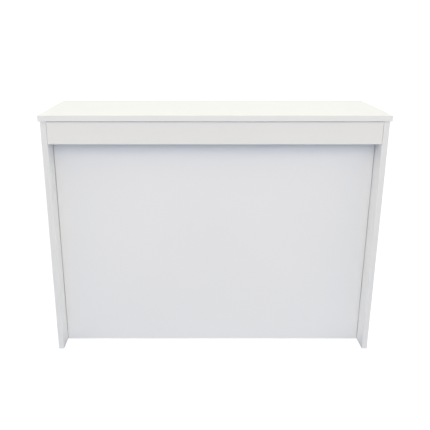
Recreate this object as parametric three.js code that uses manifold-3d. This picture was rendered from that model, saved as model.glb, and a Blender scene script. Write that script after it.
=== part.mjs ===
// A free-standing checkout counter in white melamine-faced board, with a cash drawer and a shelf
// on the staff side. Millimetres. X runs along the counter and -Y faces the customer. Z is up, and
// the origin is on the floor under the middle of the worktop. Left means -X.
import * as THREE from "three";
import { mergeVertices } from "three/addons/utils/BufferGeometryUtils.js";
import Module from "manifold-3d";

const wasm = await Module();
wasm.setup();

// Overall size
const WIDTH = 1200;
const DEPTH = 400;
const HEIGHT = 900;

// Boards
const BOARD = 20; // every carcass board: an 18 mm core with a 1 mm laminate on each face
const BAND = 1; // thickness of the plastic edge banding
const OVERHANG = 6; // the worktop past the side panels, at the ends, front and rear
const FOOT = 3; // height of the glides under the side panels

// Customer side
const PANEL_RECESS = 76; // the front panel, behind the side panels' front edges
const FASCIA_DROP = 79; // the fascia's bottom edge, below the worktop
const FASCIA_GAP = 2.5; // between the fascia and the worktop
const FASCIA_JOINT = 1; // between each end of the fascia and its side panel
const PANEL_JOINT = 1.5; // between each end of the front panel and its side panel

// Staff side
const DIVIDER_X = -118;
const INNER_REAR = 184; // rear edge of the divider, bottom shelf and rear rail
const KICK_HEIGHT = 61; // the bottom shelf's underside, above the bottom of the side panels
const KICK_SETBACK = 40;
const RAIL_HEIGHT = 60;
const SHELF_Z = 450; // underside of the adjustable shelf
const SHELF_PLAY = 1; // at each end of the adjustable shelf
const PIN_PITCH = 32; // between the shelf pin holes in a column
const PIN_HOLES = 9;
const PIN_COLUMNS = [-60, 137];
const PIN_RADIUS = 2.5;

// Fittings
const FIT = 0.3; // clearance of a fitting in its hole
const CAM_RADIUS = 7.5;
const CAM_DEPTH = 13.2;
const CAM_INSET = 34; // cam centre from the end of its board
const PANEL_CAM_HEIGHTS = [200, 700];
const BRACKET_LEG = 30;
const BRACKET_WIDTH = 20;
const BRACKET_THICK = 2;
const BRACKET_Y = [-50, 110];
const GLIDE_Y = [-150, 150];

// Cash drawer
const DRAWER_FRONT_Y = 156; // inner face of the drawer front
const DRAWER_FRONT_HEIGHT = 130;
const DRAWER_REVEAL = 3; // around the drawer front
const DRAWER_BOTTOM = 763; // underside of the drawer box
const DRAWER_SIDE_HEIGHT = 90;
const DRAWER_BOARD = 12;
const DRAWER_BASE = 4;
const DRAWER_BASE_Z = 10; // underside of the drawer base above the bottom of the drawer box
const GROOVE_DEPTH = 5;
const DRAWER_BACK_Y = -92;
const RUNNER_SPACE = 13; // between the drawer box and its bay, filled by one runner
const RUNNER_LENGTH = 250;
const RUNNER_START_Y = -95;
const RUNNER_Z = 35; // runner's centre line above the bottom of the drawer box
const SHEET = 1.25; // the runners' steel
const HANDLE_Z = 35;
const LOCK_Z = 87;

// Derived planes
const SIDE_OUT = WIDTH / 2 - OVERHANG; // 594
const SIDE_IN = SIDE_OUT - BOARD; // 574
const SIDE_FRONT = -DEPTH / 2 + OVERHANG; // -194
const SIDE_REAR = -SIDE_FRONT;
const WORKTOP_Z = HEIGHT - BOARD; // 880
const PANEL_FRONT = SIDE_FRONT + PANEL_RECESS; // -118
const PANEL_BACK = PANEL_FRONT + BOARD; // -98
const BOTTOM_Z = FOOT + KICK_HEIGHT; // 64
const BAY_LEFT = -SIDE_IN;
const BAY_RIGHT = DIVIDER_X - BOARD / 2; // -128
const OPEN_LEFT = DIVIDER_X + BOARD / 2; // -108
const DRAWER_X = (BAY_LEFT + BAY_RIGHT) / 2; // -351
const DRAWER_HALF = (BAY_RIGHT - BAY_LEFT) / 2; // 223

const LOOKS = {
  melamine: { color: 0xf3f3f0, roughness: 0.5, metalness: 0 },
  band: { color: 0xf1f1ee, roughness: 0.4, metalness: 0 },
  drawerBoard: { color: 0xeeeeea, roughness: 0.55, metalness: 0 },
  zinc: { color: 0xb9bcbe, roughness: 0.4, metalness: 0.9 },
  nickel: { color: 0xc4c3bf, roughness: 0.32, metalness: 0.9 },
  chrome: { color: 0xd6d8da, roughness: 0.14, metalness: 1 },
  nylon: { color: 0xd9d9d5, roughness: 0.7, metalness: 0 },
};

// ---------------------------------------------------------------- helpers

function add(parent, name, look, geometry, position = [0, 0, 0], rotation = [0, 0, 0]) {
  const mesh = new THREE.Mesh(geometry, new THREE.MeshStandardMaterial(LOOKS[look]));
  mesh.name = name;
  mesh.position.set(...position);
  mesh.rotation.set(...rotation);
  parent.add(mesh);
  return mesh;
}

function toSolid(geometry) {
  const bare = geometry.clone();
  bare.deleteAttribute("normal");
  bare.deleteAttribute("uv");
  const merged = mergeVertices(bare, 1e-4);
  const vertProperties = new Float32Array(merged.attributes.position.array);
  const triVerts = new Uint32Array(merged.index.array);
  return new wasm.Manifold(new wasm.Mesh({ numProp: 3, vertProperties, triVerts }));
}

function fromSolid(solid) {
  const mesh = solid.getMesh();
  const geometry = new THREE.BufferGeometry();
  geometry.setAttribute("position", new THREE.BufferAttribute(mesh.vertProperties, 3));
  geometry.setIndex(new THREE.BufferAttribute(mesh.triVerts, 1));
  geometry.computeVertexNormals();
  return geometry;
}

// The geometry less every cutter.
function cut(geometry, cutters) {
  let solid = toSolid(geometry);
  for (const cutter of cutters) {
    solid = solid.subtract(toSolid(cutter));
  }
  return fromSolid(solid);
}

function block(x0, x1, y0, y1, z0, z1) {
  const box = new THREE.BoxGeometry(x1 - x0, y1 - y0, z1 - z0);
  return box.translate((x0 + x1) / 2, (y0 + y1) / 2, (z0 + z1) / 2);
}

// A board given by its limits in its parent, less its cutters, which are given there too.
function addBoard(parent, name, look, limits, cutters = []) {
  const [x0, x1, y0, y1, z0, z1] = limits;
  const centre = [(x0 + x1) / 2, (y0 + y1) / 2, (z0 + z1) / 2];
  let geometry = new THREE.BoxGeometry(x1 - x0, y1 - y0, z1 - z0);
  if (cutters.length > 0) {
    const back = centre.map((value) => -value);
    geometry = cut(geometry, cutters.map((cutter) => cutter.translate(...back)));
  }
  return add(parent, name, look, geometry, centre);
}

// A round bar, or a round hole's cutter, between two points.
function rod(radius, start, end, segments = 16) {
  const from = new THREE.Vector3(...start);
  const along = new THREE.Vector3(...end).sub(from);
  const length = along.length();
  const bar = new THREE.CylinderGeometry(radius, radius, length, segments);
  const turn = new THREE.Quaternion().setFromUnitVectors(new THREE.Vector3(0, 1, 0), along.normalize());
  const middle = from.addScaledVector(along, length / 2);
  return bar.applyQuaternion(turn).translate(middle.x, middle.y, middle.z);
}

// A turned piece: the profile is [radius, height] pairs, and its axis is +Y.
function turned(profile, segments = 24) {
  return new THREE.LatheGeometry(profile.map(([r, h]) => new THREE.Vector2(r, h)), segments);
}

function outline(points) {
  return new THREE.Shape(points.map(([x, y]) => new THREE.Vector2(x, y)));
}

function rectangle(x0, x1, y0, y1) {
  return outline([[x0, y0], [x1, y0], [x1, y1], [x0, y1]]);
}

function extrudeZ(shape, z0, z1, curveSegments = 6) {
  const options = { depth: z1 - z0, bevelEnabled: false, curveSegments };
  return new THREE.ExtrudeGeometry(shape, options).translate(0, 0, z0);
}

// The shape's x and y become X and Z.
function extrudeY(shape, y0, y1, curveSegments = 6) {
  return extrudeZ(shape, 0, y1 - y0, curveSegments).rotateX(Math.PI / 2).translate(0, y1, 0);
}

// The shape's x and y become Y and Z.
function extrudeX(shape, x0, x1) {
  return extrudeZ(shape, 0, x1 - x0).rotateX(Math.PI / 2).rotateZ(Math.PI / 2).translate(x0, 0, 0);
}

// The name ending and the direction of each end of the counter.
const ENDS = [["left", -1], ["right", 1]];

// ---------------------------------------------------------------- worktop and customer side

function addWorktop(parent) {
  const x = WIDTH / 2;
  const y = DEPTH / 2;
  const core = [-x + BAND, x - BAND, -y + BAND, y - BAND, WORKTOP_Z, HEIGHT];
  addBoard(parent, "worktop", "melamine", core);
  const ring = rectangle(-x, x, -y, y);
  ring.holes.push(rectangle(-x + BAND, x - BAND, -y + BAND, y - BAND));
  add(parent, "worktop_edge_band", "band", extrudeZ(ring, 0, BOARD), [0, 0, WORKTOP_Z]);
}

// Holes in one side panel. They start a little outside the face so that they cut it cleanly.
function sidePanelHoles(side) {
  const face = side * SIDE_IN;
  const into = (depth) => side * (SIDE_IN + depth);
  const start = face - side;
  const holes = [];
  for (const z of PANEL_CAM_HEIGHTS) {
    const y = PANEL_FRONT + BOARD / 2;
    holes.push(rod(PIN_RADIUS + FIT, [start, y, z], [into(11.5), y, z], 12));
  }
  const fasciaY = SIDE_FRONT + BOARD / 2;
  const fasciaZ = WORKTOP_Z - FASCIA_DROP / 2;
  holes.push(rod(PIN_RADIUS + FIT, [start, fasciaY, fasciaZ], [into(11.5), fasciaY, fasciaZ], 12));
  for (const y of GLIDE_Y) {
    const x = side * (SIDE_IN + BOARD / 2);
    holes.push(rod(4, [x, y, FOOT - 1], [x, y, FOOT + 10.5], 16));
  }
  if (side > 0) {
    holes.push(...pinHoles(start, into(10)));
  }
  return holes;
}

function pinHoles(fromX, toX) {
  const holes = [];
  for (const y of PIN_COLUMNS) {
    for (let n = 0; n < PIN_HOLES; n += 1) {
      const z = SHELF_Z - PIN_RADIUS + (n - (PIN_HOLES - 1) / 2) * PIN_PITCH;
      holes.push(rod(PIN_RADIUS + FIT, [fromX, y, z], [toX, y, z], 12));
    }
  }
  return holes;
}

function addSidePanels(parent) {
  for (const [end, side] of ENDS) {
    const x0 = Math.min(side * SIDE_IN, side * SIDE_OUT);
    const x1 = x0 + BOARD;
    const core = [x0, x1, SIDE_FRONT + BAND, SIDE_REAR - BAND, FOOT, WORKTOP_Z];
    addBoard(parent, `side_panel_${end}`, "melamine", core, sidePanelHoles(side));
    const front = [x0, x1, SIDE_FRONT, SIDE_FRONT + BAND, FOOT, WORKTOP_Z];
    addBoard(parent, `side_front_band_${end}`, "band", front);
    const rear = [x0, x1, SIDE_REAR - BAND, SIDE_REAR, FOOT, WORKTOP_Z];
    addBoard(parent, `side_rear_band_${end}`, "band", rear);
  }
}

// The pocket for a cam and the bore for its bolt, in the end of a board whose back face is at
// backY and which stands clear of the side panel by the joint.
function camPocket(side, joint, backY, z) {
  const endX = side * (SIDE_IN - joint);
  const camX = endX - side * CAM_INSET;
  const axisY = backY - BOARD / 2;
  return [
    rod(CAM_RADIUS + FIT, [camX, backY + 1, z], [camX, backY - CAM_DEPTH - FIT, z], 24),
    rod(4, [endX + side, axisY, z], [camX, axisY, z], 16),
  ];
}

function addCustomerPanels(parent) {
  const panelX = SIDE_IN - PANEL_JOINT;
  const pockets = [];
  for (const [, side] of ENDS) {
    for (const z of PANEL_CAM_HEIGHTS) {
      pockets.push(...camPocket(side, PANEL_JOINT, PANEL_BACK, z));
    }
  }
  const panel = [-panelX, panelX, PANEL_FRONT, PANEL_BACK, FOOT, WORKTOP_Z];
  addBoard(parent, "front_panel", "melamine", panel, pockets);
  const x = SIDE_IN - FASCIA_JOINT;
  const bottom = WORKTOP_Z - FASCIA_DROP;
  const top = WORKTOP_Z - FASCIA_GAP;
  const back = SIDE_FRONT + BOARD;
  const middle = WORKTOP_Z - FASCIA_DROP / 2;
  const railPockets = ENDS.flatMap(([, side]) => camPocket(side, FASCIA_JOINT, back, middle));
  const rail = [-x, x, SIDE_FRONT, back, bottom + BAND, top];
  addBoard(parent, "fascia_rail", "melamine", rail, railPockets);
  addBoard(parent, "fascia_bottom_band", "band", [-x, x, SIDE_FRONT, back, bottom, bottom + BAND]);
}

// ---------------------------------------------------------------- staff side

// A board with its rear edge banded.
function addRearBanded(parent, name, limits, cutters = []) {
  const [x0, x1, y0, y1, z0, z1] = limits;
  addBoard(parent, name, "melamine", [x0, x1, y0, y1 - BAND, z0, z1], cutters);
  addBoard(parent, `${name}_rear_band`, "band", [x0, x1, y1 - BAND, y1, z0, z1]);
}

function addStaffBoards(parent) {
  const dividerBottom = BOTTOM_Z + BOARD;
  const divider = [BAY_RIGHT, OPEN_LEFT, PANEL_BACK, INNER_REAR, dividerBottom, WORKTOP_Z];
  addRearBanded(parent, "divider", divider, pinHoles(OPEN_LEFT + 1, OPEN_LEFT - 10));
  const bottom = [-SIDE_IN, SIDE_IN, PANEL_BACK, INNER_REAR, BOTTOM_Z, dividerBottom];
  addRearBanded(parent, "bottom_shelf", bottom);
  const kickY = INNER_REAR - KICK_SETBACK;
  const kick = [-SIDE_IN, SIDE_IN, kickY - BOARD, kickY, FOOT, BOTTOM_Z];
  addBoard(parent, "rear_plinth", "melamine", kick);
  const railBottom = WORKTOP_Z - RAIL_HEIGHT;
  const rail = [OPEN_LEFT, SIDE_IN, INNER_REAR - BOARD, INNER_REAR, railBottom, WORKTOP_Z];
  addBoard(parent, "rear_top_rail", "melamine", rail);
  const x0 = OPEN_LEFT + SHELF_PLAY;
  const x1 = SIDE_IN - SHELF_PLAY;
  const shelf = [x0, x1, PANEL_BACK + 2, INNER_REAR - 10, SHELF_Z, SHELF_Z + BOARD];
  addRearBanded(parent, "adjustable_shelf", shelf);
}

// ---------------------------------------------------------------- fittings

// Each pin has a peg in the panel, a thin collar on its face and an arm under the shelf.
function addShelfPins(parent) {
  const arm = 9;
  const collar = 0.7;
  const profile = [[0, -8], [PIN_RADIUS, -8], [PIN_RADIUS, 0], [3.5, 0], [3.5, collar]];
  profile.push([PIN_RADIUS, collar], [PIN_RADIUS, arm], [0, arm]);
  const places = [["left", OPEN_LEFT, -1], ["right", SIDE_IN, 1]];
  for (const [end, x, turn] of places) {
    PIN_COLUMNS.forEach((y, n) => {
      const name = `shelf_pin_${n === 0 ? "front" : "rear"}_${end}`;
      add(parent, name, "nickel", turned(profile, 12), [x, y, SHELF_Z - PIN_RADIUS], [0, 0, turn * Math.PI / 2]);
    });
  }
}

function addGlides(parent) {
  const profile = [[0, 0], [7, 0], [8, 1], [8, FOOT], [3.7, FOOT], [3.7, FOOT + 10], [0, FOOT + 10]];
  for (const [end, side] of ENDS) {
    GLIDE_Y.forEach((y, n) => {
      const name = `glide_${n === 0 ? "front" : "rear"}_${end}`;
      add(parent, name, "nylon", turned(profile, 20), [side * (SIDE_IN + BOARD / 2), y, 0], [Math.PI / 2, 0, 0]);
    });
  }
}

// Steel angles that hold the worktop down. The geometry is for the left side panel.
function addTopBrackets(parent) {
  const leg = BRACKET_LEG;
  const t = BRACKET_THICK;
  const angle = outline([[0, 0], [0, -leg], [t, -leg], [t, -t], [leg, -t], [leg, 0]]);
  const middle = BRACKET_WIDTH / 2;
  for (const [end, side] of ENDS) {
    BRACKET_Y.forEach((y, n) => {
      const name = `top_bracket_${n === 0 ? "front" : "rear"}_${end}`;
      const bar = extrudeY(angle, -middle, middle);
      const holes = [rod(2.4, [-1, 0, -20], [t + 1, 0, -20], 12), rod(2.4, [20, 0, -t - 1], [20, 0, 1], 12)];
      add(parent, name, "zinc", cut(bar, holes), [side * SIDE_IN, y, WORKTOP_Z], [0, 0, side > 0 ? Math.PI : 0]);
    });
  }
}

// A cam and its bolt pull the end of a board up to a side panel, as far as the bolt's collar lets
// it come. Both are built for the left panel, from its inner face along +X, with the board's back
// face on the +Y side.
function camGeometry() {
  const disc = rod(CAM_RADIUS, [0, 0, 0], [0, -CAM_DEPTH, 0], 24);
  const throat = rod(3.9, [-CAM_RADIUS - 1, -BOARD / 2, 0], [1.5, -BOARD / 2, 0], 16);
  const slots = [block(-4.5, 4.5, -2.5, 1, -0.8, 0.8), block(-0.8, 0.8, -2.5, 1, -4.5, 4.5)];
  return cut(disc, [throat, ...slots]);
}

function boltGeometry(joint) {
  const thread = -11.2;
  const collar = 5.5;
  const head = joint + CAM_INSET - 2;
  const profile = [[0, thread], [2, thread], [PIN_RADIUS, thread + 1], [PIN_RADIUS, 0], [collar, 0]];
  profile.push([collar, joint], [PIN_RADIUS, joint], [PIN_RADIUS, head - 9], [1.7, head - 8]);
  profile.push([1.7, head - 4], [3, head - 3], [3, head - 1], [0, head]);
  return turned(profile, 12);
}

function addCamJoint(parent, place, end, joint, backY, z) {
  const side = end === "right" ? 1 : -1;
  const camX = side * (SIDE_IN - joint - CAM_INSET);
  const spin = side > 0 ? Math.PI : 0;
  add(parent, `cam_disc_${place}_${end}`, "zinc", camGeometry(), [camX, backY, z], [0, spin, 0]);
  const axisY = backY - BOARD / 2;
  const lay = side * Math.PI / 2;
  add(parent, `cam_bolt_${place}_${end}`, "zinc", boltGeometry(joint), [side * SIDE_IN, axisY, z], [0, 0, lay]);
}

function addCamJoints(parent) {
  for (const [end] of ENDS) {
    addCamJoint(parent, "panel_lower", end, PANEL_JOINT, PANEL_BACK, PANEL_CAM_HEIGHTS[0]);
    addCamJoint(parent, "panel_upper", end, PANEL_JOINT, PANEL_BACK, PANEL_CAM_HEIGHTS[1]);
    const middle = WORKTOP_Z - FASCIA_DROP / 2;
    addCamJoint(parent, "fascia", end, FASCIA_JOINT, SIDE_FRONT + BOARD, middle);
  }
}

// An angle under the worktop that the turned lock tongue catches on.
function addLockStrike(parent) {
  const low = -14;
  const angle = outline([[0, 0], [-24, 0], [-24, -2], [-2, -2], [-2, low], [0, low]]);
  const y = DRAWER_FRONT_Y - 1.5;
  const holes = [-12, 12].map((x) => rod(2.4, [x, -13, -3], [x, -13, 1], 12));
  add(parent, "lock_strike", "zinc", cut(extrudeX(angle, -20, 20), holes), [DRAWER_X, y, WORKTOP_Z]);
}

// ---------------------------------------------------------------- drawer runners

// A channel open to +X or -X: its web from webX, its flanges as far as lipX, with small lips.
function channel(webX, lipX, half, lip) {
  const dir = Math.sign(lipX - webX);
  const web = webX + dir * SHEET;
  const edge = lipX - dir * SHEET;
  const upper = [[webX, half], [lipX, half]];
  if (lip > 0) {
    upper.push([lipX, half - SHEET - lip], [edge, half - SHEET - lip], [edge, half - SHEET]);
  } else {
    upper.push([lipX, half - SHEET]);
  }
  upper.push([web, half - SHEET]);
  const lower = upper.map(([x, z]) => [x, -z]).reverse();
  return outline([...upper, ...lower]);
}

// Three nested channels. X is 0 on the bay's wall and RUNNER_SPACE on the drawer's side.
function runnerMember(member) {
  const shapes = {
    outer: channel(0, 10, 22.5, 2),
    middle: channel(2.25, 11, 17.5, 2),
    inner: channel(RUNNER_SPACE, 4.75, 12, 0),
  };
  return extrudeY(shapes[member], 0, RUNNER_LENGTH);
}

function addRunners(parent, member, origin) {
  for (const [end, side] of ENDS) {
    const x = DRAWER_X + side * DRAWER_HALF - origin[0];
    const y = RUNNER_START_Y - origin[1];
    const z = DRAWER_BOTTOM + RUNNER_Z - origin[2];
    const spin = side > 0 ? Math.PI : 0;
    add(parent, `runner_${member}_${end}`, "zinc", runnerMember(member), [x, y, z], [0, spin, 0]);
  }
}

// ---------------------------------------------------------------- drawer

// Everything here is in the drawer's own frame: X from its middle, Z from the box's underside.
function addDrawerBox(drawer) {
  const out = DRAWER_HALF - RUNNER_SPACE; // 210
  const inside = out - DRAWER_BOARD; // 198
  const tongue = inside + GROOVE_DEPTH;
  const front = DRAWER_FRONT_Y;
  const back = DRAWER_BACK_Y;
  const baseTop = DRAWER_BASE_Z + DRAWER_BASE;
  const low = DRAWER_BASE_Z - FIT;
  const high = baseTop + FIT;
  for (const [end, side] of ENDS) {
    const x0 = Math.min(side * inside, side * out);
    const edge = side * (tongue + FIT);
    const groove = block(Math.min(edge, side * (inside - 1)), Math.max(edge, side * (inside - 1)), back - 1, front + 1, low, high);
    const limits = [x0, x0 + DRAWER_BOARD, back, front, 0, DRAWER_SIDE_HEIGHT];
    addBoard(drawer, `drawer_side_${end}`, "drawerBoard", limits, [groove]);
  }
  const rear = [-inside, inside, back, back + DRAWER_BOARD, baseTop + 1, DRAWER_SIDE_HEIGHT];
  addBoard(drawer, "drawer_back", "drawerBoard", rear);
  const base = [-tongue, tongue, back, front + GROOVE_DEPTH, DRAWER_BASE_Z, baseTop];
  addBoard(drawer, "drawer_base", "drawerBoard", base);
}

function addDrawerFront(drawer) {
  const x = DRAWER_HALF - DRAWER_REVEAL; // 220
  const top = WORKTOP_Z - DRAWER_REVEAL - DRAWER_BOTTOM; // 114
  const bottom = top - DRAWER_FRONT_HEIGHT;
  const y0 = DRAWER_FRONT_Y;
  const y1 = y0 + BOARD;
  const reach = DRAWER_HALF - RUNNER_SPACE - DRAWER_BOARD + GROOVE_DEPTH + FIT;
  const low = DRAWER_BASE_Z - FIT;
  const high = DRAWER_BASE_Z + DRAWER_BASE + FIT;
  const groove = block(-reach, reach, y0 - 1, y0 + GROOVE_DEPTH + FIT, low, high);
  const lockHole = rod(9.5 + FIT, [0, y0 - 1, LOCK_Z], [0, y1 + 1, LOCK_Z], 24);
  const core = [-x + BAND, x - BAND, y0, y1, bottom + BAND, top - BAND];
  addBoard(drawer, "drawer_front", "melamine", core, [groove, lockHole]);
  const ring = rectangle(-x, x, bottom, top);
  ring.holes.push(rectangle(-x + BAND, x - BAND, bottom + BAND, top - BAND));
  add(drawer, "drawer_front_band", "band", extrudeY(ring, y0, y1));
}

// A bow handle on 128 mm centres, standing off the drawer front.
function addHandle(drawer) {
  const half = 69;
  const leg = 10;
  const reach = 22;
  const bar = 8;
  const shape = new THREE.Shape();
  shape.moveTo(-half, 0);
  shape.lineTo(-half + leg, 0);
  shape.lineTo(-half + leg, reach - bar - 4);
  shape.absarc(-half + leg + 4, reach - bar - 4, 4, Math.PI, Math.PI / 2, true);
  shape.lineTo(half - leg - 4, reach - bar);
  shape.absarc(half - leg - 4, reach - bar - 4, 4, Math.PI / 2, 0, true);
  shape.lineTo(half - leg, 0);
  shape.lineTo(half, 0);
  shape.lineTo(half, reach - 9);
  shape.absarc(half - 9, reach - 9, 9, 0, Math.PI / 2, false);
  shape.lineTo(-half + 9, reach);
  shape.absarc(-half + 9, reach - 9, 9, Math.PI / 2, Math.PI, false);
  shape.lineTo(-half, 0);
  const y = DRAWER_FRONT_Y + BOARD;
  add(drawer, "drawer_handle", "nickel", extrudeZ(shape, -6, 6, 6), [0, y, HANDLE_Z]);
}

// The barrel goes through the drawer front, with a thin flange on the staff side.
function addLockHousing(drawer) {
  const length = BOARD + 5;
  const profile = [[6.5, 0], [9.5, 0], [9.5, length], [12, length], [12, length + 1.2], [11.2, length + 2]];
  profile.push([6.5, length + 2], [6.5, 0]);
  add(drawer, "lock_housing", "chrome", turned(profile, 32), [0, DRAWER_FRONT_Y - 5, LOCK_Z]);
}

// The plug that the key turns, with a screw that carries the tongue. It is unlocked as built.
function addLockCore(core) {
  const back = DRAWER_FRONT_Y - 9.3;
  const front = DRAWER_FRONT_Y + BOARD + 2.5;
  const seat = DRAWER_FRONT_Y - 4.7;
  const profile = [[0, back], [5, back], [5, back + 2], [3, back + 2], [3, seat], [6.1, seat]];
  profile.push([6.1, front - 0.4], [5.7, front], [0, front]);
  const keyway = block(-1, 1, front - 8, front + 1, -4, 4);
  add(core, "lock_plug", "chrome", cut(turned(profile, 24), [keyway]));
  const reach = -24;
  const plate = new THREE.Shape();
  plate.moveTo(0, -7);
  plate.absarc(0, 0, 7, -Math.PI / 2, Math.PI / 2, false);
  plate.lineTo(reach + 2, 6);
  plate.lineTo(reach, 4);
  plate.lineTo(reach, -4);
  plate.lineTo(reach + 2, -6);
  plate.lineTo(0, -7);
  plate.holes.push(new THREE.Path().absarc(0, 0, 3 + FIT, 0, 2 * Math.PI, true));
  add(core, "lock_tongue", "zinc", extrudeY(plate, DRAWER_FRONT_Y - 7, DRAWER_FRONT_Y - 5, 8));
}

// ---------------------------------------------------------------- assembly

const counter = new THREE.Group();
addWorktop(counter);
addSidePanels(counter);
addCustomerPanels(counter);
addStaffBoards(counter);
addShelfPins(counter);
addGlides(counter);
addTopBrackets(counter);
addCamJoints(counter);
addLockStrike(counter);
addRunners(counter, "outer", [0, 0, 0]);

const runnerMiddles = new THREE.Group();
runnerMiddles.position.set(DRAWER_X, RUNNER_START_Y, DRAWER_BOTTOM);
counter.add(runnerMiddles);
addRunners(runnerMiddles, "middle", [DRAWER_X, RUNNER_START_Y, DRAWER_BOTTOM]);

const drawer = new THREE.Group();
drawer.position.set(DRAWER_X, 0, DRAWER_BOTTOM);
counter.add(drawer);
addDrawerBox(drawer);
addDrawerFront(drawer);
addHandle(drawer);
addLockHousing(drawer);
addRunners(drawer, "inner", [DRAWER_X, 0, DRAWER_BOTTOM]);

const lockCore = new THREE.Group();
lockCore.position.set(0, 0, LOCK_Z);
drawer.add(lockCore);
addLockCore(lockCore);

export default counter;
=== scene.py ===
"""Looks, fittings, light and camera for the checkout counter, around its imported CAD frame.

Metres. X runs along the counter, -Y is the customer's side, Z is up, and the floor is at 0.
"""

import math

import bmesh
import bpy
from mathutils import Matrix, Vector


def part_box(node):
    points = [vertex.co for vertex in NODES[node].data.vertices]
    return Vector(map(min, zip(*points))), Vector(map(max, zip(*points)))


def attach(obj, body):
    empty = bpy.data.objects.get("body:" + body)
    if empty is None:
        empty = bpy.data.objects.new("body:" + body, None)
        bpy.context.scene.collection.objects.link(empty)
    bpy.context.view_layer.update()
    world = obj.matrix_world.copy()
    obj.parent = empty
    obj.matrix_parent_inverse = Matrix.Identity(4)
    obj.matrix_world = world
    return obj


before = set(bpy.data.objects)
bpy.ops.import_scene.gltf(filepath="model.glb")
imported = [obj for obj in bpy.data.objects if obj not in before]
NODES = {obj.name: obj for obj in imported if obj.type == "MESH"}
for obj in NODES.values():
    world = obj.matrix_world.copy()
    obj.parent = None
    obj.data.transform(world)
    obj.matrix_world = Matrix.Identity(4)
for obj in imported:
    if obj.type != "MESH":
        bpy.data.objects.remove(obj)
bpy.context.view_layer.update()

CARCASS = "carcass"
MIDDLES = "runner_middles"
DRAWER = "drawer"
LOCK = "lock_core"
ENDS = (("left", -1), ("right", 1))
MM = 0.001

LAMINATE = 1.0 * MM
WELD_DISTANCE = 0.01 * MM
SHARP_ANGLE = math.radians(35)
SHEET = 2.0 * MM  # the brackets, the lock strike


# ---------------------------------------------------------------- node helpers


def new_material(name):
    """A material with an empty Principled shader: (material, nodes, links, shader)."""
    material = bpy.data.materials.new(name)
    material.use_nodes = True
    nodes = material.node_tree.nodes
    return material, nodes, material.node_tree.links, nodes["Principled BSDF"]


def noise(nodes, links, scale, detail=2.0, roughness=0.5, stretch=None):
    """A noise texture in object space, with its pattern stretched where asked."""
    coords = nodes.new("ShaderNodeTexCoord")
    texture = nodes.new("ShaderNodeTexNoise")
    texture.inputs["Scale"].default_value = scale
    texture.inputs["Detail"].default_value = detail
    texture.inputs["Roughness"].default_value = roughness
    source = coords.outputs["Object"]
    if stretch:
        mapping = nodes.new("ShaderNodeMapping")
        mapping.inputs["Scale"].default_value = stretch
        links.new(source, mapping.inputs["Vector"])
        source = mapping.outputs["Vector"]
    links.new(source, texture.inputs["Vector"])
    return texture.outputs["Fac"]


def spread(nodes, links, value, low, high):
    """The middle of a noise value's range, where most of it lies, mapped to low to high."""
    node = nodes.new("ShaderNodeMapRange")
    node.inputs["From Min"].default_value = 0.3
    node.inputs["From Max"].default_value = 0.7
    node.inputs["To Min"].default_value = low
    node.inputs["To Max"].default_value = high
    links.new(value, node.inputs["Value"])
    return node.outputs["Result"]


def mix_colour(nodes, links, factor, first, second):
    """Mixes two colours or colour sockets."""
    node = nodes.new("ShaderNodeMix")
    node.data_type = "RGBA"
    links.new(factor, node.inputs["Factor"])
    for key, value in (("A", first), ("B", second)):
        socket = next(s for s in node.inputs if s.name == key and s.type == "RGBA")
        if isinstance(value, tuple):
            socket.default_value = (*value, 1.0)
        else:
            links.new(value, socket)
    return next(s for s in node.outputs if s.type == "RGBA")


def mottle(nodes, links, pattern, colour, shade):
    """The colour, darkened by the factor shade where the pattern is low."""
    darker = tuple(c * shade for c in colour)
    return mix_colour(nodes, links, spread(nodes, links, pattern, 0.0, 1.0), darker, colour)


def calculate(nodes, links, operation, value, operand=0.0):
    """One maths step on a value."""
    node = nodes.new("ShaderNodeMath")
    node.operation = operation
    links.new(value, node.inputs[0])
    node.inputs[1].default_value = operand
    return node.outputs[0]


def bump(nodes, links, height, strength, distance):
    """A normal raised by the height, with the distance in metres."""
    node = nodes.new("ShaderNodeBump")
    node.inputs["Strength"].default_value = strength
    node.inputs["Distance"].default_value = distance
    links.new(height, node.inputs["Height"])
    return node.outputs["Normal"]


# ---------------------------------------------------------------- materials


def melamine(name, colour, core=None):
    """White melamine facing with a fine pearl texture.

    core is (axis, low, high): between those two faces of a board, under the laminate, the cut
    chipboard shows, as in its drilled holes and unbanded edges.
    """
    material, nodes, links, shader = new_material(name)
    face = mottle(nodes, links, noise(nodes, links, 3.0, 3.0), colour, 0.988)
    gloss = spread(nodes, links, noise(nodes, links, 40.0, 4.0), 0.40, 0.50)
    pearl = noise(nodes, links, 900.0, 2.0, 0.6)
    normal = bump(nodes, links, pearl, 0.25, 0.00006)
    if core is not None:
        axis, low, high = core
        coords = nodes.new("ShaderNodeTexCoord")
        split = nodes.new("ShaderNodeSeparateXYZ")
        links.new(coords.outputs["Object"], split.inputs["Vector"])
        away = calculate(nodes, links, "SUBTRACT", split.outputs[axis], (low + high) / 2)
        away = calculate(nodes, links, "ABSOLUTE", away)
        inside = calculate(nodes, links, "LESS_THAN", away, (high - low) / 2 - LAMINATE)
        chips = spread(nodes, links, noise(nodes, links, 420.0, 6.0, 0.75), 0.0, 1.0)
        chip_colour = mix_colour(nodes, links, chips, CHIP_DARK, CHIP_LIGHT)
        face = mix_colour(nodes, links, inside, face, chip_colour)
    links.new(face, shader.inputs["Base Color"])
    links.new(gloss, shader.inputs["Roughness"])
    links.new(normal, shader.inputs["Normal"])
    return material


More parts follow.
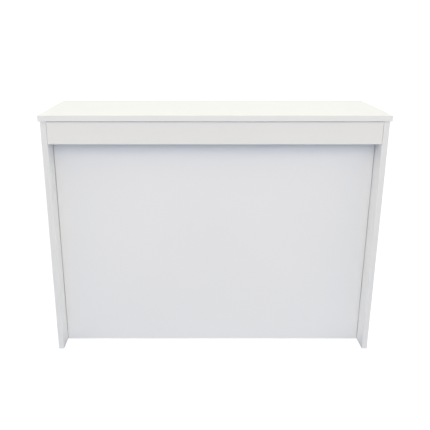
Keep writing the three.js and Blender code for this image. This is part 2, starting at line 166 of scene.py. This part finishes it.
def edge_band(name, colour):
    """Plastic edge band, a little glossier than the boards, with faint trimming marks."""
    material, nodes, links, shader = new_material(name)
    face = mottle(nodes, links, noise(nodes, links, 12.0, 3.0), colour, 0.985)
    gloss = spread(nodes, links, noise(nodes, links, 60.0, 3.0), 0.32, 0.42)
    links.new(face, shader.inputs["Base Color"])
    links.new(gloss, shader.inputs["Roughness"])
    marks = noise(nodes, links, 500.0, 2.0, 0.5, stretch=(0.08, 0.08, 1.0))
    links.new(bump(nodes, links, marks, 0.2, 0.00005), shader.inputs["Normal"])
    return material


def metal(name, colour, rough_low, rough_high, grain=(1.0, 1.0, 1.0), scale=300.0, marks=0.0):
    """Bare or plated metal, with its roughness broken up along the grain."""
    material, nodes, links, shader = new_material(name)
    shader.inputs["Metallic"].default_value = 1.0
    pattern = noise(nodes, links, scale, 4.0, 0.6, stretch=grain)
    links.new(mottle(nodes, links, pattern, colour, 0.9), shader.inputs["Base Color"])
    links.new(spread(nodes, links, pattern, rough_low, rough_high), shader.inputs["Roughness"])
    if marks > 0:
        links.new(bump(nodes, links, pattern, marks, 0.00003), shader.inputs["Normal"])
    return material


def moulded(name, colour, roughness):
    """Moulded plastic with a fine matt grain."""
    material, nodes, links, shader = new_material(name)
    face = mottle(nodes, links, noise(nodes, links, 150.0, 3.0), colour, 0.94)
    links.new(face, shader.inputs["Base Color"])
    grain = noise(nodes, links, 2500.0, 2.0)
    gloss = spread(nodes, links, grain, roughness - 0.06, roughness + 0.06)
    links.new(gloss, shader.inputs["Roughness"])
    links.new(bump(nodes, links, grain, 0.3, 0.00003), shader.inputs["Normal"])
    return material


WHITE = (0.905, 0.905, 0.89)
TOP_BAND_WHITE = (0.905, 0.905, 0.895)
# The front panel's white is lighter and the fascia's darker than the other boards. This is painted
# light and painted shade: lit and shaded copies of one white melamine.
PANEL_WHITE_PAINTED_LIGHT = (0.92, 0.922, 0.918)
FASCIA_WHITE_PAINTED_SHADE = (0.885, 0.88, 0.858)
BAND_WHITE = (0.88, 0.88, 0.87)
DRAWER_WHITE = (0.86, 0.86, 0.84)
CHIP_DARK = (0.36, 0.30, 0.24)
CHIP_LIGHT = (0.62, 0.54, 0.44)
ZINC_GREY = (0.66, 0.68, 0.70)

BAND = edge_band("edge_band_white", BAND_WHITE)
TOP_BAND = edge_band("worktop_band_white", TOP_BAND_WHITE)
PLAIN_BOARD = melamine("melamine_white", WHITE)
DRAWER_BOARD = melamine("drawer_board_white", DRAWER_WHITE)
ZINC = metal("zinc_plate", ZINC_GREY, 0.30, 0.46, scale=350.0, marks=0.15)
ROLLED_ZINC = metal("rolled_zinc_plate", ZINC_GREY, 0.30, 0.40, (8.0, 0.1, 8.0), 120.0, 0.1)
NICKEL = metal("satin_nickel", (0.70, 0.685, 0.65), 0.26, 0.36, (0.15, 6.0, 6.0), 300.0, 0.2)
CHROME = metal("chrome_plate", (0.80, 0.81, 0.82), 0.07, 0.13, scale=200.0)
STEEL = metal("ball_steel", (0.62, 0.62, 0.63), 0.10, 0.18, scale=200.0)
NYLON = moulded("nylon", (0.72, 0.72, 0.69), 0.55)

# The thin way through each board that has holes, grooves or unbanded edges.
CORE_AXIS = {
    "side_panel_left": 0,
    "side_panel_right": 0,
    "divider": 0,
    "front_panel": 1,
    "fascia_rail": 1,
    "drawer_front": 1,
    "adjustable_shelf": 2,
}


def dress(name, material, bevel, segments=2):
    """Gives a CAD node its material and softens its edges."""
    node = NODES[name]
    node.data.materials.clear()
    node.data.materials.append(material)
    weld = node.modifiers.new("weld", "WELD")
    weld.merge_threshold = WELD_DISTANCE
    rounding = node.modifiers.new("edges", "BEVEL")
    rounding.width = bevel
    rounding.segments = segments
    rounding.limit_method = "ANGLE"
    rounding.angle_limit = SHARP_ANGLE
    rounding.use_clamp_overlap = True
    rounding.harden_normals = False
    shade = node.modifiers.new("shading", "WEIGHTED_NORMAL")
    shade.keep_sharp = True
    shade.weight = 80


def dress_frame():
    for name in NODES:
        if name in CORE_AXIS:
            axis = CORE_AXIS[name]
            low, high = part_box(name)
            core = (axis, low[axis], high[axis])
            # The front panel takes the lightened white (painted light) and the fascia rail takes
            # the darkened white (painted shade).
            colour = {"front_panel": PANEL_WHITE_PAINTED_LIGHT, "fascia_rail": FASCIA_WHITE_PAINTED_SHADE}.get(name, WHITE)
            # The front panel's ends are eased where they meet the side panels.
            arris, steps = (0.3 * MM, 2) if name == "front_panel" else (0.15 * MM, 1)
            dress(name, melamine(f"melamine_{name}", colour, core), arris, steps)
        elif name == "worktop_edge_band":
            dress(name, TOP_BAND, 0.4 * MM, 3)
        elif name.endswith("_band") or "_band_" in name:
            dress(name, BAND, 0.4 * MM, 3)
        elif name in ("drawer_side_left", "drawer_side_right", "drawer_back", "drawer_base"):
            dress(name, DRAWER_BOARD, 0.5 * MM)
        elif name.startswith("runner_"):
            dress(name, ROLLED_ZINC, 0.3 * MM)
        elif name.startswith("shelf_pin"):
            dress(name, NICKEL, 0.2 * MM)
        elif name == "drawer_handle":
            dress(name, NICKEL, 1.6 * MM, 4)
        elif name.startswith("glide"):
            dress(name, NYLON, 0.3 * MM)
        elif name in ("lock_housing", "lock_plug"):
            dress(name, CHROME, 0.2 * MM)
        elif name.startswith(("top_bracket", "cam_", "lock_")):
            dress(name, ZINC, 0.25 * MM)
        else:
            dress(name, PLAIN_BOARD, 0.15 * MM, 1)


# ---------------------------------------------------------------- fittings that CAD leaves out


def build_mesh(name, build):
    """A mesh from a function that fills a bmesh."""
    mesh = bpy.data.meshes.new(name)
    work = bmesh.new()
    build(work)
    bmesh.ops.recalc_face_normals(work, faces=work.faces[:])
    work.to_mesh(mesh)
    work.free()
    return mesh


def place_mesh(name, mesh, body, matrix=None):
    """Puts a mesh piece on its body."""
    piece = bpy.data.objects.new(name, mesh)
    bpy.context.scene.collection.objects.link(piece)
    if matrix is not None:
        piece.matrix_world = matrix
    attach(piece, body)
    return piece


def revolve(work, profile, steps):
    """Turns a profile of (radius, height) about Z. A point on the axis closes it."""
    rings = []
    for radius, height in profile:
        if radius == 0:
            rings.append([work.verts.new((0, 0, height))])
            continue
        ring = []
        for n in range(steps):
            angle = 2 * math.pi * n / steps
            spot = (radius * math.cos(angle), radius * math.sin(angle), height)
            ring.append(work.verts.new(spot))
        rings.append(ring)
    for lower, upper in zip(rings, rings[1:]):
        for n in range(steps):
            m = (n + 1) % steps
            below = [lower[n % len(lower)], lower[m % len(lower)]]
            above = [upper[m % len(upper)], upper[n % len(upper)]]
            corners = list(dict.fromkeys(below + above))
            if len(corners) > 2:
                work.faces.new(corners)


def towards(direction):
    """The turn that takes +Z to a direction."""
    return Vector((0, 0, 1)).rotation_difference(Vector(direction)).to_matrix().to_4x4()


def screw_mesh(name, profile, recess):
    """A screw head with a cross recess, in millimetres.

    The profile is (radius, height). The recess is (height, length, width) at its floor, then at
    a level above the head.
    """

    def turn_head(work):
        revolve(work, [(r * MM, h * MM) for r, h in profile], 32)

    def cut_cross(work):
        for turn in (0, math.pi / 2):
            for vertex in bmesh.ops.create_cube(work, size=1.0)["verts"]:
                height, length, width = recess[0] if vertex.co.z < 0 else recess[1]
                spot = Vector((vertex.co.x * length, vertex.co.y * width, height)) * MM
                vertex.co = Matrix.Rotation(turn, 3, "Z") @ spot

    head = build_mesh("screw_head", turn_head)
    cross = build_mesh("cross", cut_cross)
    solid = bpy.data.objects.new("screw_head", head)
    cutter = bpy.data.objects.new("screw_cutter", cross)
    for item in (solid, cutter):
        bpy.context.scene.collection.objects.link(item)
    carve = solid.modifiers.new("recess", "BOOLEAN")
    carve.operation = "DIFFERENCE"
    carve.solver = "EXACT"
    carve.use_self = True
    carve.object = cutter
    graph = bpy.context.evaluated_depsgraph_get()
    result = bpy.data.meshes.new_from_object(solid.evaluated_get(graph))
    for item in (solid, cutter):
        bpy.data.objects.remove(item)
    result.name = name
    result.materials.clear()
    result.materials.append(ZINC)
    return result


def add_screws():
    """Pan head screws in the brackets, the strike and the handle, flat ones in the runners."""
    pan = [(0, 0), (3.7, 0), (4.0, 0.35), (4.0, 0.9), (3.75, 1.5), (3.1, 2.0), (2.0, 2.3), (0, 2.4)]
    pan_head = screw_mesh("pan_head_screw", pan, ((0.9, 1.4, 0.5), (2.8, 4.2, 0.9)))
    flat = [(0, 0), (3.3, 0), (3.3, 0.2), (3.0, 0.5), (0, 0.55)]
    flat_head = screw_mesh("flat_head_screw", flat, ((0.1, 3.2, 0.7), (1.0, 4.0, 1.0)))

    def screw(name, spot, direction, body, spin, mesh=pan_head):
        turn = towards(direction) @ Matrix.Rotation(spin, 4, "Z")
        place_mesh(name, mesh, body, Matrix.Translation(Vector(spot)) @ turn)

    leg = 20 * MM  # from a bracket's corner to its screws
    for end, side in ENDS:
        for n, place in enumerate(("front", "rear")):
            low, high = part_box(f"top_bracket_{place}_{end}")
            y = (low[1] + high[1]) / 2
            wall = high[0] if side > 0 else low[0]
            beside = (wall - side * SHEET, y, high[2] - leg)
            below = (wall - side * leg, y, high[2] - SHEET)
            screw(f"bracket_screw_side_{place}_{end}", beside, (-side, 0, 0), CARCASS, 0.5 + n)
            screw(f"bracket_screw_top_{place}_{end}", below, (0, 0, -1), CARCASS, 0.2 + 0.7 * n)

    low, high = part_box("lock_strike")
    inset = 13 * MM  # from the strike's rear edge
    for n, offset in enumerate((-12 * MM, 12 * MM)):
        spot = ((low[0] + high[0]) / 2 + offset, high[1] - inset, high[2] - SHEET)
        screw(f"strike_screw_{n + 1}", spot, (0, 0, -1), CARCASS, 0.4 + n)

    low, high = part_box("drawer_handle")
    inner_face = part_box("drawer_front")[0][1]
    for n, offset in enumerate((-64 * MM, 64 * MM)):
        spot = ((low[0] + high[0]) / 2 + offset, inner_face, (low[2] + high[2]) / 2)
        screw(f"handle_screw_{n + 1}", spot, (0, -1, 0), DRAWER, 0.9 * n)

    web = 1.25 * MM
    for end, side in ENDS:
        for member, body in (("outer", CARCASS), ("inner", DRAWER)):
            low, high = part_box(f"runner_{member}_{end}")
            web_far = (side > 0) == (member == "outer")
            x = high[0] - web if web_far else low[0] + web
            way = -1 if web_far else 1
            for n, share in enumerate((0.14, 0.5, 0.86)):
                spot = (x, low[1] + (high[1] - low[1]) * share, (low[2] + high[2]) / 2)
                name = f"runner_screw_{member}_{end}_{n + 1}"
                screw(name, spot, (way, 0, 0), body, 0.6 * n, flat_head)


def add_lock_nut():
    """The hexagon nut that clamps the lock to the drawer front."""
    low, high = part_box("lock_housing")
    x = (low[0] + high[0]) / 2
    z = (low[2] + high[2]) / 2
    inner_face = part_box("drawer_front")[0][1]
    # Millimetres: radius of the bore, radius to a corner, thickness and chamfer.
    bore, corner, thick, edge = 9.7, 13.6, 3.0, 0.5
    outline = (
        (bore, 0.0),
        (bore, thick),
        (corner - edge, thick),
        (corner, thick - edge),
        (corner, edge),
        (corner - edge, 0.0),
    )
    steps = 48
    half_side = math.pi / 6

    def build(work):
        loops = []
        for radius, height in outline:
            loop = []
            for n in range(steps):
                angle = 2 * math.pi * n / steps
                reach = radius
                if radius > bore:
                    sector = (angle % (2 * half_side)) - half_side
                    reach = radius * math.cos(half_side) / math.cos(sector)
                spot = (reach * math.cos(angle) * MM, reach * math.sin(angle) * MM, height * MM)
                loop.append(work.verts.new(spot))
            loops.append(loop)
        for first, second in zip(loops, loops[1:] + loops[:1]):
            for n in range(steps):
                m = (n + 1) % steps
                work.faces.new((first[n], first[m], second[m], second[n]))

    mesh = build_mesh("lock_nut", build)
    mesh.materials.append(ZINC)
    seat = Matrix.Translation((x, inner_face, z)) @ towards((0, -1, 0))
    place_mesh("lock_nut", mesh, DRAWER, seat)


def add_ball_cages():
    """Cages of balls between the runner members. They lie where both members cover them."""
    ball, balls = 1.5 * MM, 9
    width, thick, spare = 3.8 * MM, 0.5 * MM, 4 * MM  # the strip, and its length past the end balls
    # Millimetres: label, distance from the wall, height from the runner's middle, and the
    # first and last ball along the runner.
    rows = (("outer", 6.6, 19.4, 8, 120), ("inner", 7.2, 14.1, 130, 242))
    for end, side in ENDS:
        low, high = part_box(f"runner_outer_{end}")
        wall = high[0] if side > 0 else low[0]
        middle = (low[2] + high[2]) / 2
        for label, across, up, first, last in rows:
            x = wall - side * across * MM
            start = low[1] + first * MM
            run = (last - first) * MM

            def build(work, x=x, up=up, start=start, run=run, middle=middle):
                for way in (-1, 1):
                    z = middle + way * up * MM
                    strip = Matrix.Diagonal((width, run + 2 * spare, thick, 1.0))
                    centre = Matrix.Translation((x, start + run / 2, z))
                    bmesh.ops.create_cube(work, size=1.0, matrix=centre @ strip)
                    for n in range(balls):
                        spot = Matrix.Translation((x, start + run * n / (balls - 1), z))
                        bmesh.ops.create_icosphere(work, subdivisions=2, radius=ball, matrix=spot)

            mesh = build_mesh(f"ball_cage_{label}_{end}", build)
            mesh.materials.append(STEEL)
            for polygon in mesh.polygons:
                polygon.use_smooth = True
            place_mesh(f"ball_cage_{label}_{end}", mesh, MIDDLES)


# ---------------------------------------------------------------- stage, light and camera


def add_stage():
    """A plain white floor that curves up all round. Only the camera sees it."""
    mesh = bpy.data.meshes.new("floor")
    work = bmesh.new()
    radius, curve, top = 14.0, 4.0, 9.0
    curve_steps, round_steps = 12, 96
    profile = [(0.0, 0.0), (2.0, 0.0), (5.0, 0.0), (radius - curve, 0.0)]
    for n in range(1, curve_steps + 1):
        angle = math.pi / 2 * n / curve_steps
        profile.append((radius - curve + curve * math.sin(angle), curve - curve * math.cos(angle)))
    profile.append((radius, top))
    revolve(work, profile, round_steps)
    work.to_mesh(mesh)
    work.free()
    for polygon in mesh.polygons:
        polygon.use_smooth = True
    floor = bpy.data.objects.new("floor", mesh)
    bpy.context.scene.collection.objects.link(floor)
    material, _, _, shader = new_material("studio_floor")
    shader.inputs["Base Color"].default_value = (0.5, 0.5, 0.5, 1.0)
    shader.inputs["Roughness"].default_value = 1.0
    shader.inputs["Specular IOR Level"].default_value = 0.0
    shader.inputs["Emission Color"].default_value = (1.0, 1.0, 1.0, 1.0)
    shader.inputs["Emission Strength"].default_value = 0.75
    mesh.materials.append(material)
    floor.visible_diffuse = False
    floor.visible_glossy = False
    floor.visible_shadow = False


WORLD_STRENGTH = 2.46

# Name, place, aim, size, power and colour.
SOFTBOXES = (
    ("key", (0.0, -3.0, 3.0), (0.0, 0.0, 0.6), (2.6, 1.8), 12.7, (1.0, 0.74, 0.36)),
    ("right", (2.6, -1.2, 1.4), (0.0, 0.0, 0.6), (1.2, 1.6), 5.4, (1.0, 0.65, 0.2)),
    ("left", (-2.6, -1.2, 1.4), (0.0, 0.0, 0.6), (1.2, 1.6), 3.6, (1.0, 0.6, 0.1)),
    ("top", (0.0, -0.6, 3.0), (0.0, 0.0, 0.9), (2.4, 1.6), 11.2, (0.92, 1.0, 0.66)),
)

CAMERA_SPOT = (-0.0587, -2.1658, 1.1973)
CAMERA_DOWN = 18.283  # degrees below the horizon
LENS = 48.74
SENSOR = 36.0
SHIFT = 0.0403


def add_world():
    """Studio light all round: a bright ring a little above the horizon, and light off the floor."""
    world = bpy.data.worlds.new("studio")
    bpy.context.scene.world = world
    world.use_nodes = True
    nodes = world.node_tree.nodes
    links = world.node_tree.links
    background = nodes["Background"]
    coords = nodes.new("ShaderNodeTexCoord")
    split = nodes.new("ShaderNodeSeparateXYZ")
    links.new(coords.outputs["Generated"], split.inputs["Vector"])
    height = nodes.new("ShaderNodeMapRange")
    height.inputs["From Min"].default_value = -1.0
    links.new(split.outputs["Z"], height.inputs["Value"])
    ramp = nodes.new("ShaderNodeValToRGB")
    links.new(height.outputs["Result"], ramp.inputs["Fac"])
    # From straight down to straight up.
    stops = (
        (0.0, (0.74, 0.81, 0.91)),
        (0.2, (0.0, 0.005, 0.04)),
        (0.375, (0.0, 0.005, 0.03)),
        (0.525, (0.305, 0.325, 0.35)),
        (0.65, (0.965, 0.97, 0.985)),
        (0.8, (0.23, 0.23, 0.24)),
        (1.0, (0.0, 0.0, 0.0)),
    )
    for place, _ in stops[1:-1]:
        ramp.color_ramp.elements.new(place)
    for element, (_, colour) in zip(ramp.color_ramp.elements, stops):
        element.color = (*colour, 1.0)
    links.new(ramp.outputs["Color"], background.inputs["Color"])
    background.inputs["Strength"].default_value = WORLD_STRENGTH


def add_softbox(name, spot, aim, size, power, colour):
    data = bpy.data.lights.new(name, "AREA")
    data.shape = "RECTANGLE"
    data.size, data.size_y = size
    data.energy = power
    data.color = colour
    light = bpy.data.objects.new(name, data)
    bpy.context.scene.collection.objects.link(light)
    light.location = spot
    light.rotation_euler = (Vector(aim) - Vector(spot)).to_track_quat("-Z", "Y").to_euler()


def add_camera():
    data = bpy.data.cameras.new("camera")
    data.sensor_width = SENSOR
    data.lens = LENS
    data.shift_x = SHIFT
    data.clip_end = 100.0
    camera = bpy.data.objects.new("camera", data)
    bpy.context.scene.collection.objects.link(camera)
    camera.location = CAMERA_SPOT
    camera.rotation_euler = (math.radians(90 - CAMERA_DOWN), 0.0, 0.0)
    bpy.context.scene.camera = camera


dress_frame()
add_screws()
add_lock_nut()
add_ball_cages()
add_stage()
add_world()
for softbox in SOFTBOXES:
    add_softbox(*softbox)
add_camera()

scene = bpy.context.scene
scene.view_settings.view_transform = "Standard"
scene.view_settings.look = "None"
